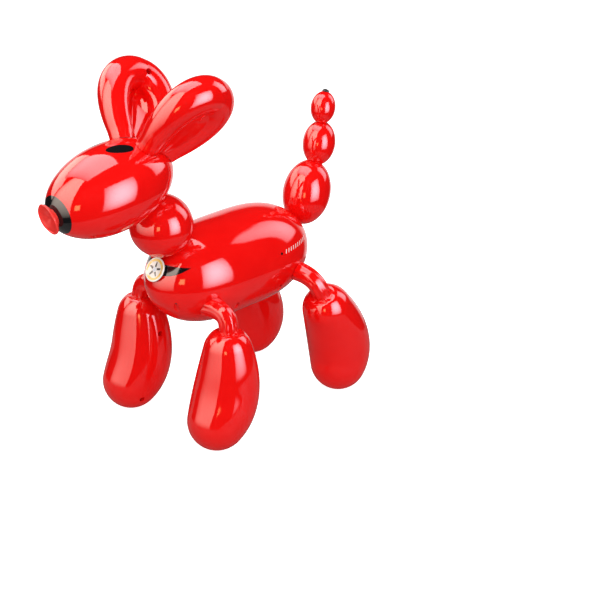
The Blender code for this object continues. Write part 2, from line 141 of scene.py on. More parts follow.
class Tree:
    """A shader or geometry node tree and the calls that fill it."""

    def __init__(self, nodes: bpy.types.NodeTree) -> None:
        """Wrap an empty node tree."""
        self.nodes = nodes

    def fill(self, node: bpy.types.Node, inputs: dict) -> None:
        """Set or link a node's sockets.

        Args:
            node: the node.
            inputs: its sockets' values or links, by name or number.
        """
        for name, value in inputs.items():
            if isinstance(value, Value):
                self.nodes.links.new(value.socket, node.inputs[name])
            else:
                node.inputs[name].default_value = value

    def add(self, kind: str, inputs: dict | None = None, **settings: object) -> bpy.types.Node:
        """Add a node.

        Args:
            kind: the node's type.
            inputs: its sockets' values or links, by name or number.
            settings: its properties, which are set first.

        Returns:
            The node.
        """
        node = self.nodes.nodes.new(kind)
        for name, setting in settings.items():
            setattr(node, name, setting)
        self.fill(node, inputs or {})
        return node

    def node(self, kind: str, inputs: dict | None = None, output: int | str = 0, **settings: object) -> Value:
        """Add a node, as add does, and return one of its outputs."""
        return Value(self, self.add(kind, inputs, **settings).outputs[output])

    def clamped(self, value: Value) -> Value:
        """Return a value held between 0 and 1."""
        return self.node("ShaderNodeClamp", {"Value": value})

    def vector_maths(self, operation: str, *vectors: "Value | Sequence[float]", output: int = 0) -> Value:
        """Return the result of one Vector Math node."""
        return self.node("ShaderNodeVectorMath", dict(enumerate(vectors)), output, operation=operation)

    def dot(self, vector: Value, axis: Sequence[float]) -> Value:
        """Return how far a vector reaches along an axis."""
        return self.vector_maths("DOT_PRODUCT", vector, tuple(axis), output=1)

    def scaled(self, vector: Value, factor: "Value | float") -> Value:
        """Return a vector times a number."""
        return self.node("ShaderNodeVectorMath", {0: vector, "Scale": factor}, operation="SCALE")

    def parts(self, vector: Value) -> tuple[Value, Value, Value]:
        """Return a vector's three numbers."""
        node = self.add("ShaderNodeSeparateXYZ", {0: vector})
        return tuple(Value(self, socket) for socket in node.outputs)

    def joined(self, x: "Value | float", y: "Value | float", z: "Value | float") -> Value:
        """Return a vector made of three numbers."""
        return self.node("ShaderNodeCombineXYZ", {0: x, 1: y, 2: z})

    def mixed(self, mask: Value, first: "Value | Colour", second: "Value | Colour") -> Value:
        """Return the first colour where a mask is 0 and the second where it is 1."""
        return self.node("ShaderNodeMix", {0: mask, 6: first, 7: second}, 2, data_type="RGBA")

    def noise(self, place: Value, scale: float, detail: float = 2.0) -> Value:
        """Return a noise from 0 to 1 at a place, with a scale in features a metre."""
        return self.node("ShaderNodeTexNoise", {"Vector": place, "Scale": scale, "Detail": detail})


class ShaderTree(Tree):
    """The node tree of one finish."""

    def __init__(self, name: str) -> None:
        """Make a material and keep its main shader."""
        self.material = bpy.data.materials.new(name)
        self.material.use_nodes = True
        super().__init__(self.material.node_tree)
        self.nodes.nodes.clear()
        self.shader = self.add("ShaderNodeBsdfPrincipled")
        self.add("ShaderNodeOutputMaterial", {0: Value(self, self.shader.outputs[0])})
        self.place = self.node("ShaderNodeTexCoord", output="Object")

    def set(self, **inputs: "Value | float | Colour") -> None:
        """Set or link the main shader's sockets, with _ for a space in a name."""
        self.fill(self.shader, {name.replace("_", " "): value for name, value in inputs.items()})

    def bump(self, height: Value, distance: float) -> Value:
        """Return the normal of a surface raised by a height from 0 to 1."""
        return self.node("ShaderNodeBump", {"Height": height, "Distance": distance})


class GeometryTree(Tree):
    """A geometry node tree with named inputs."""

    def __init__(self, name: str) -> None:
        """Make an empty tree with a Geometry output."""
        group = bpy.data.node_groups.new(name, "GeometryNodeTree")
        group.interface.new_socket("Geometry", in_out="OUTPUT", socket_type="NodeSocketGeometry")
        super().__init__(group)
        self.sockets: dict[str, str] = {}
        self.source = group.nodes.new("NodeGroupInput")

    def inputs(self, *names: str, kind: str = "Float") -> list[Value]:
        """Add named inputs.

        Args:
            names: the inputs' names.
            kind: their kind of socket.

        Returns:
            The inputs' values.
        """
        for name in names:
            item = self.nodes.interface.new_socket(name, in_out="INPUT", socket_type=f"NodeSocket{kind}")
            self.sockets[name] = item.identifier
        return [Value(self, self.source.outputs[name]) for name in names]

    def capture(self, geometry: Value, **values: tuple[str, Value]) -> tuple[Value, ...]:
        """Keep field values on a geometry's points.

        Args:
            geometry: the geometry.
            values: a data type and a field for each name.

        Returns:
            The geometry, and each kept value.
        """
        node = self.nodes.nodes.new("GeometryNodeCaptureAttribute")
        for name, (kind, _) in values.items():
            node.capture_items.new(kind, name)
        self.fill(node, {"Geometry": geometry, **{name: value for name, (_, value) in values.items()}})
        return tuple(Value(self, node.outputs[name]) for name in ("Geometry", *values))

    def close(self, geometry: Value) -> None:
        """End the tree in Realize Instances and Set Material, with its material as a last input.

        Args:
            geometry: what the tree has made.
        """
        (material,) = self.inputs("Material", kind="Material")
        whole = self.node("GeometryNodeRealizeInstances", {"Geometry": geometry})
        dressed = self.node("GeometryNodeSetMaterial", {"Geometry": whole, "Material": material})
        self.add("NodeGroupOutput", {0: dressed})

    def baked(self, values: dict[str, object]) -> bpy.types.Mesh:
        """Run the tree with some inputs.

        Args:
            values: the value of each named input.

        Returns:
            The plain mesh that it makes.
        """
        item = placed(self.nodes.name, bpy.data.meshes.new(self.nodes.name))
        modifier = item.modifiers.new("form", "NODES")
        modifier.node_group = self.nodes
        for name, value in values.items():
            modifier[self.sockets[name]] = value
        return baked_mesh(item)


def placed(name: str, data: bpy.types.ID) -> bpy.types.Object:
    """Put a mesh, lamp or camera in the scene.

    Args:
        name: the object's name.
        data: what it shows.

    Returns:
        The object, at the origin.
    """
    item = bpy.data.objects.new(name, data)
    bpy.context.scene.collection.objects.link(item)
    return item


def baked_mesh(item: bpy.types.Object, *tools: bpy.types.Object) -> bpy.types.Mesh:
    """Bake an object's modifiers, and delete it.

    Args:
        item: the object.
        tools: the objects that its modifiers use, which are deleted too.

    Returns:
        A plain mesh of the object as its modifiers left it.
    """
    bpy.context.view_layer.update()
    graph = bpy.context.evaluated_depsgraph_get()
    mesh = bpy.data.meshes.new_from_object(item.evaluated_get(graph))
    item.modifiers.clear()
    for used in (item, *tools):
        bpy.data.objects.remove(used, do_unlink=True)
    return mesh


def freed(shape: bmesh.types.BMesh, mesh: bpy.types.Mesh | None = None) -> bpy.types.Mesh:
    """End the work on an edit mesh.

    Args:
        shape: the edit mesh, which is freed.
        mesh: the mesh that takes its form, or none for a new one.

    Returns:
        The mesh.
    """
    mesh = mesh or bpy.data.meshes.new("form")
    shape.to_mesh(mesh)
    shape.free()
    return mesh


def tidied(mesh: bpy.types.Mesh) -> bpy.types.Mesh:
    """Merge a mesh's doubles and point its faces outwards.

    Args:
        mesh: the mesh, which is changed.

    Returns:
        The same mesh.
    """
    shape = bmesh.new()
    shape.from_mesh(mesh)
    bmesh.ops.remove_doubles(shape, verts=shape.verts, dist=2e-6)
    bmesh.ops.recalc_face_normals(shape, faces=shape.faces)
    return freed(shape, mesh)


def mesh_of(points: Sequence[Sequence[float]], faces: Sequence[Sequence[int]]) -> bpy.types.Mesh:
    """Make a tidied mesh.

    Args:
        points: its points.
        faces: its faces, as numbers of points.

    Returns:
        The mesh.
    """
    mesh = bpy.data.meshes.new("form")
    mesh.from_pydata([tuple(point) for point in points], [], faces)
    return tidied(mesh)


def grid_faces(rows: int, columns: int, closed: bool = True) -> list[tuple[int, ...]]:
    """Return the quads between rows of points.

    Args:
        rows: the number of rows.
        columns: the number of points in a row.
        closed: whether the last point of a row meets its first.

    Returns:
        The faces as numbers of points.
    """
    faces = []
    for low in range(0, (rows - 1) * columns, columns):
        high = low + columns
        for c in range(columns if closed else columns - 1):
            after = (c + 1) % columns
            faces.append((low + c, low + after, high + after, high + c))
    return faces


def turned_mesh(profile: Sequence[tuple[float, float]], steps: int, place: Matrix) -> bpy.types.Mesh:
    """Turn a profile about local Z.

    Args:
        profile: points of (radius, height), with both ends on the axis.
        steps: the number of steps round.
        place: where the form goes.

    Returns:
        The closed mesh.
    """
    turns = [2 * pi * i / steps for i in range(steps)]
    points = [place @ Vector((radius * cos(turn), radius * sin(turn), height))
              for radius, height in profile for turn in turns]
    return mesh_of(points, grid_faces(len(profile), steps))


def block_mesh(sizes: Point, middle: Point) -> bpy.types.Mesh:
    """Return a block, for cutting.

    Args:
        sizes: its three sizes.
        middle: its middle.

    Returns:
        The mesh.
    """
    shape = bmesh.new()
    bmesh.ops.create_cube(shape, size=1.0)
    bmesh.ops.scale(shape, vec=sizes, verts=shape.verts)
    bmesh.ops.translate(shape, vec=middle, verts=shape.verts)
    return freed(shape)


def combined(base: bpy.types.Mesh, other: bpy.types.Mesh, join: Join) -> bpy.types.Mesh:
    """Put two meshes together by one exact Boolean.

    Args:
        base: the mesh that is changed.
        other: the mesh that is added or cut out.
        join: which of the two it is.

    Returns:
        The new mesh.
    """
    item, tool = placed("base", base), placed("tool", other)
    modifier = item.modifiers.new("cut", "BOOLEAN")
    modifier.operation = join.value
    modifier.solver = "EXACT"
    modifier.object = tool
    return baked_mesh(item, tool)


def mirrored(mesh: bpy.types.Mesh) -> bpy.types.Mesh:
    """Mirror a mesh to the dog's other side.

    Args:
        mesh: the mesh, which stays as it is.

    Returns:
        Its mirror image.
    """
    copy = mesh.copy()
    copy.transform(MIRROR)
    copy.flip_normals()
    return copy


def lean_matrix(centre: Vector, angle: float) -> Matrix:
    """Return the placing whose local +Z points back and up, at an angle above +Y."""
    return Matrix.Translation(centre) @ Matrix.Rotation(angle - pi / 2, 4, "X")


def bezier(corners: Sequence[Sequence[float]], share: float) -> Vector:
    """Return a point of a cubic curve.

    Args:
        corners: the curve's four corners.
        share: how far along it the point is, from 0 to 1.

    Returns:
        The point.
    """
    rest = 1 - share
    weights = (rest**3, 3 * rest * rest * share, 3 * rest * share * share, share**3)
    return sum((Vector(corner) * weight for corner, weight in zip(corners, weights)), Vector([0.0] * len(corners[0])))


def smooth_step(value: float) -> float:
    """Return a smooth rise from 0 to 1 of a value held between them."""
    value = min(1.0, max(0.0, value))
    return value * value * (3 - 2 * value)


def smooth_high(first: float, second: float, blend: float) -> float:
    """Return the higher of two heights, rounded where they meet to within the blend."""
    share = max(0.0, blend - abs(first - second)) / blend
    return max(first, second) + share * share * blend / 4


def show(name: str, mesh: bpy.types.Mesh, material: bpy.types.Material, nodes: Sequence[str],
         sharp: float = 34.0) -> None:
    """Make a finished piece of the dog.

    Args:
        name: the piece's name.
        mesh: its mesh, in place.
        material: its finish.
        nodes: the CAD nodes that it stands for.
        sharp: the angle in degrees past which an edge stays sharp.
    """
    tidied(mesh)
    mesh.name = name
    mesh.materials.clear()
    mesh.materials.append(material)
    mesh.shade_smooth()
    mesh.set_sharp_from_angle(angle=radians(sharp))
    piece = placed(name, mesh)
    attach(piece, BODY)
    if nodes:
        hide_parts(*nodes)
    LOG.info("%s: %d faces", name, len(mesh.polygons))


def show_pair(name: str, left: bpy.types.Mesh, material: bpy.types.Material) -> None:
    """Make a left shell and its mirror image as finished pieces.

    Args:
        name: the start of the names of the two CAD nodes, and of the pieces.
        left: the left one's mesh, in place.
        material: their finish.
    """
    for side, mesh in (("right", mirrored(left)), ("left", left)):
        show(f"{name}_{side}_shell", mesh, material, [f"{name}_{side}"])


@dataclass(frozen=True)
class BubbleForm:
    """The rule of one round bubble: how long and thick it is and how blunt its ends are."""

    centre: Vector
    half_length: float
    radius: float
    lean: float
    fullness: float = 2.0
    roundness: float = 2.0
    cap_start: float = 1.0

    def grown(self, by: float) -> "BubbleForm":
        """Return the same bubble, thicker all round."""
        return replace(self, half_length=self.half_length + by, radius=self.radius + by)

    def radius_at(self, share: float) -> float:
        """Return the radius at a share of the half length from the middle."""
        return self.radius * max(0.0, 1 - abs(share) ** self.fullness) ** (1 / self.roundness)

    def cap_curve(self) -> tuple[float, float]:
        """Return the height and the bend of the round cap that closes a blunt end."""
        start = self.cap_start
        if start >= 1:
            return 1.0, 0.0
        rest = 1 - start**self.fullness
        rim = rest ** (1 / self.roundness)
        slope = -(self.fullness / self.roundness) * start ** (self.fullness - 1) * rest ** (1 / self.roundness - 1)
        bend = -1 / slope / (2 * rim)
        return start + bend * rim * rim, bend


class BubbleMaker:
    """The geometry node tree that blows a round bubble from a sphere."""

    def __init__(self) -> None:
        """Build the tree."""
        self.tree = tree = GeometryTree("bubble")
        segments, rings = tree.inputs("Segments", "Rings", kind="Int")
        radius, half, fullness, roundness, cap_start, cap_height, cap_bend = tree.inputs(
            "Radius", "Half Length", "Fullness", "Roundness", "Cap Start", "Cap Height", "Cap Bend")
        ball = tree.node("GeometryNodeMeshUVSphere", {"Segments": segments, "Rings": rings, "Radius": 1.0})
        x, y, z = tree.parts(tree.node("GeometryNodeInputPosition"))
        share = abs(z)
        width = (1 - share**fullness).maths("MAXIMUM", 0.0) ** (1 / roundness)
        round_share = cap_height - cap_bend * width * width
        capped = share.maths("GREATER_THAN", cap_start)
        height = (share + (round_share - share) * capped) * z.maths("SIGN")
        across, deep, _ = tree.parts(tree.vector_maths("NORMALIZE", tree.joined(x, y, 0.0)))
        place = tree.joined(across * width * radius, deep * width * radius, height * half)
        tree.close(tree.node("GeometryNodeSetPosition", {"Geometry": ball, "Position": place}))

    def mesh(self, form: BubbleForm, fineness: tuple[int, int]) -> bpy.types.Mesh:
        """Blow one bubble.

        Args:
            form: its rule.
            fineness: the faces round it and along it.

        Returns:
            Its mesh, in place.
        """
        height, bend = form.cap_curve()
        mesh = self.tree.baked({
            "Segments": fineness[0], "Rings": fineness[1], "Radius": form.radius, "Half Length": form.half_length,
            "Fullness": form.fullness, "Roundness": form.roundness, "Cap Start": form.cap_start,
            "Cap Height": height, "Cap Bend": bend,
        })
        mesh.transform(lean_matrix(form.centre, form.lean))
        return tidied(mesh)

    def cut(self, mesh: bpy.types.Mesh, form: BubbleForm, fineness: tuple[int, int]) -> bpy.types.Mesh:
        """Return a mesh without what lies within a bubble, and with a fine gap to it."""
        return combined(mesh, self.mesh(form.grown(GAP), fineness), Join.CUT)


class StubMaker:
    """The geometry node tree that sweeps a fluted, twisted balloon stub along a bent path."""

    flutes = 9.0
    flute_depth = 0.00055
    twist = 1.2
    end_depth = 0.25
    steps = 56
    segments = 96

    def __init__(self) -> None:
        """Build the tree."""
        self.tree = tree = GeometryTree("stub")
        root, handle, end_handle, end = tree.inputs("Root", "Root Handle", "End Handle", "End", kind="Vector")
        root_radius, end_radius, depth, count = tree.inputs("Root Radius", "End Radius", "Flute Depth", "Flutes")
        curve = tree.node("GeometryNodeCurvePrimitiveBezierSegment",
                          {"Resolution": 32, "Start": root, "Start Handle": handle, "End Handle": end_handle,
                           "End": end}, mode="POSITION")
        path = tree.node("GeometryNodeResampleCurve", {"Curve": curve, "Count": self.steps})
        path, share, middle = tree.capture(path, share=("FLOAT", tree.node("GeometryNodeSplineParameter")),
                                           middle=("VECTOR", tree.node("GeometryNodeInputPosition")))
        ring = tree.node("GeometryNodeCurvePrimitiveCircle", {"Resolution": self.segments, "Radius": 1.0})
        ring, turn = tree.capture(ring, turn=("FLOAT", tree.node("GeometryNodeSplineParameter")))
        swept = tree.node("GeometryNodeCurveToMesh", {"Curve": path, "Profile Curve": ring, "Fill Caps": True})
        arm = tree.vector_maths("SUBTRACT", tree.node("GeometryNodeInputPosition"), middle)
        ends = abs(share * 2 - 1)
        wave = (turn * (2 * pi) * count + share * self.twist).maths("SINE")
        pinch = (ends**2) * (1 - self.end_depth) + self.end_depth
        length = root_radius + (end_radius - root_radius) * share + wave * pinch * depth
        place = tree.vector_maths("ADD", middle, tree.scaled(arm, length))
        tree.close(tree.node("GeometryNodeSetPosition", {"Geometry": swept, "Position": place}))

    def mesh(self, corners: Sequence[Vector], root_radius: float, end_radius: float) -> bpy.types.Mesh:
        """Sweep one stub.

        Args:
            corners: the four corners of its path.
            root_radius: its radius at the body.
            end_radius: its radius at the pod.

        Returns:
            Its closed mesh.
        """
        values = dict(zip(("Root", "Root Handle", "End Handle", "End"), map(tuple, corners)))
        values |= {"Root Radius": root_radius, "End Radius": end_radius, "Flute Depth": self.flute_depth,
                   "Flutes": self.flutes}
        return tidied(self.tree.baked(values))


class ScrewMaker:
    """The geometry node tree that sets one small screw head in every well."""

    radius = 0.0015
    profile = ((0, -0.5), (0.96, -0.5), (1, -0.42), (0.97, 0.1), (0.8, 0.3), (0.4, 0.4), (0, 0.42))
    recess = (1.0, 0.22, 0.8)
    recess_height = 0.45

    def __init__(self) -> None:
        """Build the tree."""
        self.tree = tree = GeometryTree("screws")
        places, head = tree.inputs("Places", "Head", kind="Object")
        (size,) = tree.inputs("Head Radius")
        points, form = (tree.node("GeometryNodeObjectInfo", {"Object": item}, "Geometry") for item in (places, head))
        aim = tree.node("GeometryNodeInputNamedAttribute", {"Name": "aim"}, data_type="FLOAT_VECTOR")
        turn = tree.node("FunctionNodeAlignRotationToVector", {"Vector": aim}, axis="Z")
        tree.close(tree.node("GeometryNodeInstanceOnPoints",
                             {"Points": points, "Instance": form, "Rotation": turn,
                              "Scale": tree.joined(size, size, size)}))

    def head_mesh(self) -> bpy.types.Mesh:
        """Return a pan head of radius 1 with a cross recess."""
        head = turned_mesh(self.profile, 24, Matrix.Identity(4))
        wide, thin, deep = self.recess
        for sizes in ((wide, thin, deep), (thin, wide, deep)):
            head = combined(head, block_mesh(sizes, (0, 0, self.recess_height)), Join.CUT)
        return head

    def mesh(self, places: Sequence[tuple[Vector, Vector]]) -> bpy.types.Mesh:
        """Set a screw at each place.

        Args:
            places: the middle of each head and the way it faces.

        Returns:
            All the heads in one mesh.
        """
        dots = bpy.data.meshes.new("dots")
        dots.from_pydata([tuple(place) for place, _ in places], [], [])
        aims = dots.attributes.new("aim", "FLOAT_VECTOR", "POINT")
        for i, (_, aim) in enumerate(places):
            aims.data[i].vector = tuple(aim)
        holder, head = placed("screw_places", dots), placed("screw_head", self.head_mesh())
        bpy.context.view_layer.update()
        mesh = self.tree.baked({"Places": holder, "Head": head, "Head Radius": self.radius})
        for used in (holder, head):
            bpy.data.objects.remove(used, do_unlink=True)
        return mesh


@dataclass(frozen=True)
class WellPlan:
    """A round screw well: where it enters a surface, which way out it faces, and its sizes."""

    place: Vector
    out: Vector
    radius: float = 0.0019
    depth: float = 0.0050
    head_height: float = 0.0006

    def cutter(self) -> bpy.types.Mesh:
        """Return the cylinder that cuts the well."""
        turn = self.out.to_track_quat("Z", "Y").to_matrix().to_4x4()
        profile = [(0, -self.depth), (self.radius, -self.depth), (self.radius, self.depth), (0, self.depth)]
        return turned_mesh(profile, 32, Matrix.Translation(self.place) @ turn)

    def screw(self) -> tuple[Vector, Vector]:
        """Return where the screw's head sits and the way it faces."""
        return self.place - self.out.normalized() * (self.depth - self.head_height), self.out

    def mirrored(self) -> "WellPlan":
        """Return the same well on the dog's other side."""
        return replace(self, place=MIRROR @ self.place, out=MIRROR.to_3x3() @ self.out)


def with_wells(mesh: bpy.types.Mesh, wells: Sequence[WellPlan]) -> bpy.types.Mesh:
    """Sink wells into a mesh.

    Args:
        mesh: the mesh.
        wells: the wells.

    Returns:
        The new mesh.
    """
    shape = bmesh.new()
    for well in wells:
        shape.from_mesh(well.cutter())
    return combined(mesh, tidied(freed(shape)), Join.CUT)


Patch = tuple[Value, Colour, float]


@dataclass(frozen=True)
class GlossRed:
    """Glossy red moulded plastic, with a fine grain and a faint unevenness left by the mould."""

    colour: Colour = (0.84, 0.0064, 0.0050, 1.0)
    deep: Colour = (0.77, 0.0030, 0.0026, 1.0)
    roughness: float = 0.05
    uneven: float = 0.03
    swell: float = 0.30
    grain: float = 0.008
    paint: float = 0.02
    relief: float = 0.0005

    def build(self, name: str, masks: Callable[[ShaderTree], list[Patch]] | None = None) -> bpy.types.Material:
        """Build the finish.

        Args:
            name: the material's name.
            masks: a function that returns painted patches as (mask, colour, roughness).

        Returns:
            The material.
        """
        tree = ShaderTree(name)
        cloud = tree.noise(tree.place, 45.0)
        grain = tree.noise(tree.place, 1400.0, 3.0)
        colour = tree.mixed(cloud.above(0.5, 0.6), self.colour, self.deep)
        rough = self.roughness + (grain - 0.5) * self.uneven + (cloud - 0.5) * self.uneven
        height = tree.noise(tree.place, 55.0, 0.0) * self.swell + grain * self.grain
        for mask, paint, paint_rough in masks(tree) if masks else []:
            colour = tree.mixed(mask, colour, paint)
            rough = rough + (paint_rough - rough) * mask
            height = height + mask * self.paint
        tree.set(Base_Color=colour, Roughness=rough, Coat_Weight=0.3, Coat_Roughness=0.02, IOR=1.5,
                 Normal=tree.bump(height, self.relief))
        return tree.material


@dataclass(frozen=True)
class SoftNozzle:
    """The softer, slightly duller plastic of the balloon nozzle, with fine stretch lines."""

    colour: Colour = (0.84, 0.018, 0.015, 1.0)
    pale: Colour = (0.90, 0.055, 0.045, 1.0)

    def build(self) -> bpy.types.Material:
        """Build the finish."""
        tree = ShaderTree("soft_nozzle")
        cloud = tree.noise(tree.place, 180.0)
        grain = tree.noise(tree.place, 2500.0, 4.0)
        tree.set(Base_Color=tree.mixed(cloud, self.colour, self.pale), Roughness=0.16 + grain * 0.08,
                 Specular_IOR_Level=0.3, Coat_Weight=0.12, Coat_Roughness=0.05,
                 Normal=tree.bump(cloud * 0.5 + grain * 0.04, 0.0004))
        return tree.material


@dataclass(frozen=True)
class BlackPlastic:
    """Black plastic or blackened steel, worn a little paler in places."""

    name: str
    roughness: float
    colour: Colour = (0.010, 0.010, 0.011, 1.0)
    worn: Colour = (0.035, 0.033, 0.032, 1.0)

    def build(self) -> bpy.types.Material:
        """Build the finish."""
        tree = ShaderTree(self.name)
        cloud = tree.noise(tree.place, 700.0)
        tree.set(Base_Color=tree.mixed(cloud, self.colour, self.worn), Roughness=self.roughness + cloud * 0.12,
                 Specular_IOR_Level=0.25, Normal=tree.bump(cloud, 0.00005))
        return tree.material


@dataclass(frozen=True)
class PrintedDisc:
    """The cream disc: a golden band, five thin dark strokes, a pale blue-grey middle and painted shade along the foot
    of its side.

    Its shares are of the radius.
    """

    place: Matrix
    radius: float
    cream: Colour = (0.86, 0.84, 0.76, 1.0)
    gold: Colour = (0.88, 0.58, 0.10, 1.0)
    ink: Colour = (0.030, 0.030, 0.032, 1.0)
    blue: Colour = (0.62, 0.70, 0.76, 1.0)
    # painted shade: near-black for the foot of the disc's side, next to the chest, where shade falls under the disc
    rim: Colour = (0.012, 0.010, 0.010, 1.0)
    band: tuple[float, float] = (0.78, 0.10)
    strokes: int = 5
    stroke_ends: tuple[float, float] = (0.22, 0.62)
    stroke_half_width: float = 0.00088
    stroke_taper: float = 0.090
    middle: float = 0.20
    shade_height: float = 0.00085

    def build(self) -> bpy.types.Material:
        """Build the finish."""
        tree = ShaderTree("printed_disc")
        offset = tree.vector_maths("SUBTRACT", tree.place, tuple(self.place.translation))
        across, up, out = (tree.dot(offset, axis) for axis in self.place.to_3x3().transposed())
        far = (across * across + up * up).root()
        patchy = tree.noise(tree.place, 260.0)
        band, half_band = (share * self.radius for share in self.band)
        ring = abs(far - band).below(half_band, 0.0003) * patchy.above(0.42, 0.12)
        colour = tree.mixed(ring, self.cream, self.gold)
        start, end = (share * self.radius for share in self.stroke_ends)
        for i in range(self.strokes):
            angle = radians(18) + 2 * pi * i / self.strokes
            along = across * cos(angle) + up * sin(angle)
            beside = up * cos(angle) - across * sin(angle)
            width = self.stroke_half_width - (along - self.middle * self.radius) * self.stroke_taper
            stroke = (width - abs(beside)).above(0.0, 0.00012) * along.above(start, 0.0001)
            colour = tree.mixed(stroke * along.below(end, 0.0001), colour, self.ink)
        colour = tree.mixed(far.below(self.middle * self.radius, 0.0002), colour, self.blue)
        # painted shade: the lower part of the disc's side is painted near-black for the shade under it
        colour = tree.mixed(out.below(self.shade_height, 0.0001), colour, self.rim)
        grain = tree.noise(tree.place, 1800.0, 3.0)
        tree.set(Base_Color=colour, Roughness=0.20 + grain * 0.08, Coat_Weight=0.4, Coat_Roughness=0.08,
                 Normal=tree.bump(grain, 0.00002))
        return tree.material


@dataclass(frozen=True)
class HeadPaint:
    """The oval eyes, by how far out and along the head they are, and the round nose patch."""

    head: BubbleForm
    black: Colour = (0.006, 0.006, 0.007, 1.0)
    roughness: float = 0.10
    eye_place: tuple[float, float] = (0.0093, 0.0065)
    far_eye_shift: float = 0.0026
    eye_axis: tuple[float, float] = (0.327, 0.945)
    eye_halves: tuple[float, float] = (0.0094, 0.0043)
    nose_radius: float = 0.0135

    def patches(self, tree: ShaderTree) -> list[Patch]:
        """Paint the eyes and the nose patch.

        Args:
            tree: the node tree of the head's finish.

        Returns:
            The painted patches.
        """
        lean = lean_matrix(self.head.centre, self.head.lean).to_3x3()
        offset = tree.vector_maths("SUBTRACT", tree.place, tuple(self.head.centre))
        x, down, along = (tree.dot(offset, lean.col[i]) for i in (0, 1, 2))
        wide = abs(x) - self.eye_place[0] - x.below(0.0, 0.0001) * self.far_eye_shift
        deep = along - self.eye_place[1]
        lx, ly = self.eye_axis
        long_way = (wide * lx + deep * ly) / self.eye_halves[0]
        short_way = (wide * ly - deep * lx) / self.eye_halves[1]
        eyes = (long_way * long_way + short_way * short_way).root().below(1.0, 0.05)
        eyes = eyes * down.below(0.0, 0.001)
        nose = (x * x + down * down).root().below(self.nose_radius, 0.0003) * along.below(0.0, 0.001)
        return [(tree.clamped(eyes + nose), self.black, self.roughness)]


@dataclass(frozen=True)
class TorsoPaint:
    """The dark collar crescent on the chest, and a dot and a row of short strokes on the left flank.

    The crescent's edges are heights that fall and rise with the distance from the middle plane.
    """

    black: Colour = (0.006, 0.006, 0.007, 1.0)
    pale: Colour = (0.86, 0.80, 0.78, 1.0)
    roughness: tuple[float, float] = (0.10, 0.25)
    top: float = 0.1322
    top_fall: float = 0.060
    bottom: float = 0.1250
    bottom_rise: float = 2.93e4
    front: float = -0.025
    row: tuple[float, float] = (0.0476, 0.0773)
    row_height: float = 0.1232
    row_climb: float = 0.03
    step: float = 0.0030
    slant: float = 0.35
    stroke_share: float = 0.14
    stroke_half_height: float = 0.0014
    dot_place: tuple[float, float] = (0.0439, 0.1230)
    dot_radius: float = 0.0011

    def patches(self, tree: ShaderTree) -> list[Patch]:
        """Paint the crescent, the dot and the strokes.

        Args:
            tree: the node tree of the body's finish.

        Returns:
            The painted patches.
        """
        x, y, z = tree.parts(tree.place)
        side = abs(x)
        square = side * side
        collar = z.below(self.top - side * self.top_fall, 0.0002) * y.below(self.front, 0.001)
        collar = collar * z.above(square * square * self.bottom_rise + self.bottom, 0.0002)
        left = x.above(0.01, 0.001)
        start, end = self.row
        height = z - self.row_height - (y - start) * self.row_climb
        share = ((y - height * self.slant - start) / self.step).maths("FRACT")
        strokes = abs(share - 0.5).below(self.stroke_share, 0.06) * left
        strokes = strokes * abs(height).below(self.stroke_half_height, 0.0002)
        strokes = strokes * y.above(start, 0.0001) * y.below(end, 0.0001)
        beside, above = y - self.dot_place[0], z - self.dot_place[1]
        dot = (beside * beside + above * above).root().below(self.dot_radius, 0.0002) * left
        return [(tree.clamped(collar + dot), self.black, self.roughness[0]), (strokes, self.pale, self.roughness[1])]


@dataclass
class Trunk:
    """The head, the neck and the long body bubble, with their paint.

    The wells are given by how far out and along the dog they are.
    """

    bubbles: BubbleMaker
    head: BubbleForm = BubbleForm(Vector((0, -0.0825, 0.1979)), 0.050, 0.0298, radians(9.0))
    neck: BubbleForm = BubbleForm(Vector((0, -0.0398, 0.1595)), 0.0226, 0.0226, pi / 2)
    torso: BubbleForm = BubbleForm(Vector((0, 0.0236, 0.1137)), 0.0745, 0.0372, 0.0, 3.3, 1.6, 0.955)
    head_well: tuple[float, float] = (0.0140, -0.1127)
    body_wells: tuple[tuple[float, float], ...] = (
        (0.0149, -0.0416), (0.0308, 0.0014), (0.0308, 0.0458), (0.0149, 0.0888))

    def under_wells(self) -> list[WellPlan]:
        """Return the screw wells under the body, in pairs."""
        wells = []
        for x, y in self.body_wells:
            radius = self.torso.radius_at((y - self.torso.centre.y) / self.torso.half_length)
            drop = sqrt(radius * radius - x * x)
            wells += [WellPlan(Vector((s.value * x, y, self.torso.centre.z - drop)), Vector((0, 0, -1))) for s in Side]
        return wells

    def chin_wells(self) -> list[WellPlan]:
        """Return the pair of screw wells under the head."""
        x, y = self.head_well
        nod = self.head.lean
        share = (y - self.head.centre.y) / cos(nod) / self.head.half_length
        radius = self.head.radius_at(share)
        along = Vector((0, cos(nod), sin(nod))) * share * self.head.half_length
        below = Vector((0, sin(nod), -cos(nod))) * sqrt(radius * radius - x * x)
        place = self.head.centre + along + below
        return [WellPlan(place + Vector((s.value * x, 0, 0)), Vector((0, 0, -1))) for s in Side]

    def build(self) -> list[WellPlan]:
        """Build the three bubbles and return their wells."""
        red = GlossRed()
        head = with_wells(self.bubbles.mesh(self.head, FINE), self.chin_wells())
        show("head_shell", head, red.build("red_head", HeadPaint(self.head).patches), ["head"])
        torso = with_wells(self.bubbles.mesh(self.torso, FINEST), self.under_wells())
        show("torso_shell", torso, red.build("red_torso", TorsoPaint().patches), ["torso"])
        neck = self.bubbles.mesh(self.neck, MEDIUM)
        for other in (self.head, self.torso):
            neck = self.bubbles.cut(neck, other, FINE)
        show("neck_shell", neck, red.build("red_neck"), ["neck_bubble"])
        return [*self.chin_wells(), *self.under_wells()]

    def head_cut(self, mesh: bpy.types.Mesh) -> bpy.types.Mesh:
        """Return a mesh trimmed to sit on the head."""
        return self.bubbles.cut(mesh, self.head, FINE)

    def torso_cut(self, mesh: bpy.types.Mesh) -> bpy.types.Mesh:
        """Return a mesh trimmed to sit on the body."""
        return self.bubbles.cut(mesh, self.torso, FINEST)


